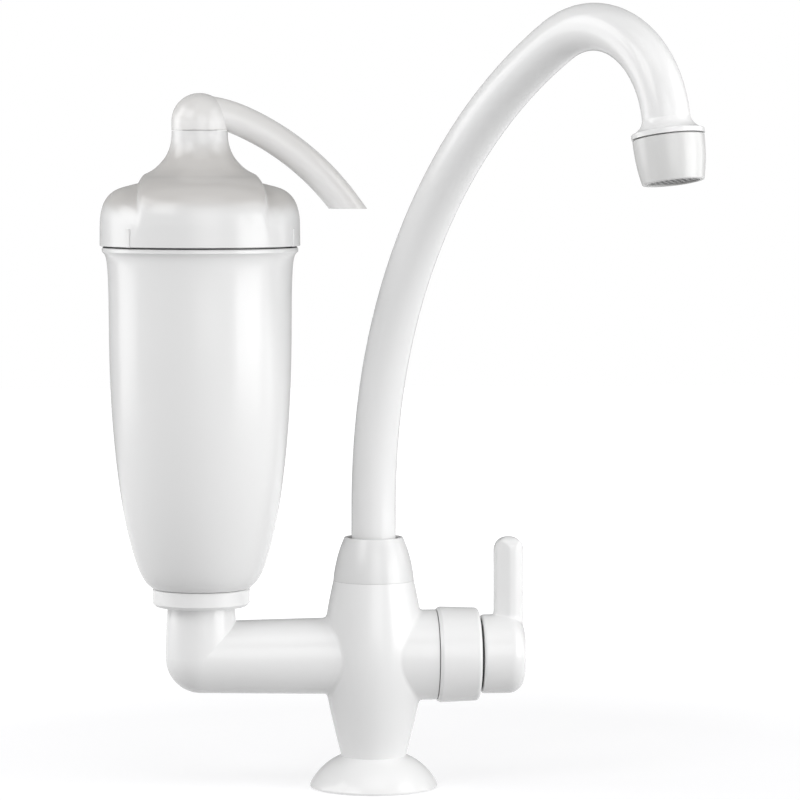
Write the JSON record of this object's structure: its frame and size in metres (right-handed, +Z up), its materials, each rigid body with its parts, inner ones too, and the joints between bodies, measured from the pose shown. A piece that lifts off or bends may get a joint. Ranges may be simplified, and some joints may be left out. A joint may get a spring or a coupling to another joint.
{
  "type": "deck tap with water filter",
  "caption": "Deck-mounted kitchen tap with a swivelling gooseneck, a quarter-turn lever and a side arm that carries a water filter with its own small spout.",
  "frame": {"origin": "centre of the base flange, on the deck's upper face, on the tap's upright axis", "axes": "+Z up along the tap's axis, +X towards the lever, -X towards the filter, -Y towards the user"},
  "size_m": [0.2565, 0.222, 0.4126],
  "materials": {
    "white_body": "glossy white moulded plastic",
    "white_cap": "glossy, slightly warmer white moulded plastic",
    "nylon": "natural white engineering plastic",
    "seal_rubber": "black rubber",
    "ceramic": "lapped ceramic",
    "spindle_brass": "turned brass",
    "steel": "stainless steel",
    "lattice": "grey moulded lattice",
    "carbon": "pressed activated carbon",
    "felt": "white filter felt",
    "end_caps": "moulded end caps"
  },
  "bodies": {
    "tap": {"base_flange": "white_body", "deck_gasket": "seal_rubber", "inlet_shank": "nylon", "clamp_washer": "nylon", "shank_nut": "nylon", "tap_body": "white_body", "spout_nut": "white_body", "valve_collar": "white_body", "valve_housing": "nylon", "valve_seal": "seal_rubber", "fixed_disc": "ceramic", "spindle_seal": "seal_rubber", "filter_union": "white_body", "union_gasket": "seal_rubber", "filter_housing": "white_body", "filter_end_cap_lower": "end_caps", "filter_block": "carbon", "filter_felt": "felt", "filter_end_cap_upper": "end_caps", "spigot_seal": "seal_rubber"},
    "spout": {"spout_tube": "white_body", "spout_ring": "nylon", "spout_seal_lower": "seal_rubber", "spout_seal_upper": "seal_rubber", "aerator_shell": "white_body", "aerator_washer": "seal_rubber", "aerator_insert": "lattice"},
    "handle": {"lever": "white_body", "valve_spindle": "spindle_brass", "turning_disc": "ceramic", "lever_screw": "steel", "lever_plug": "white_body"},
    "cap_lift": {"cap_seal": "seal_rubber"},
    "cap": {"filter_cap": "white_cap"},
    "small_spout": {"filter_spout": "white_cap", "filter_spout_seal": "seal_rubber", "filter_spout_clip": "steel"}
  },
  "joints": [
    {"name": "spout_swivel", "type": "hinge", "parent": "tap", "child": "spout", "pos_m": [0, 0, 0.09], "axis": [0, 0, 1], "range_deg": [-75, 180]},
    {"name": "lever_turn", "type": "hinge", "parent": "tap", "child": "handle", "pos_m": [0.04, 0, 0.0616], "axis": [1, 0, 0], "range_deg": [-90, 90]},
    {"name": "cap_rise", "type": "slide", "parent": "tap", "child": "cap_lift", "axis": [0, 0, 1], "range_m": [0, 0.0105]},
    {"name": "cap_unscrew", "type": "hinge", "parent": "cap_lift", "child": "cap", "pos_m": [-0.0809, 0, 0.254], "axis": [0, 0, 1], "range_deg": [0, 450]},
    {"name": "small_spout_swivel", "type": "hinge", "parent": "cap", "child": "small_spout", "pos_m": [-0.0809, 0, 0.3], "axis": [0, 0, 1], "continuous": true}
  ],
  "couplings": [
    {"joint": "cap_rise", "follows": "cap_unscrew", "m_per_rad": 0.0012732}
  ]
}
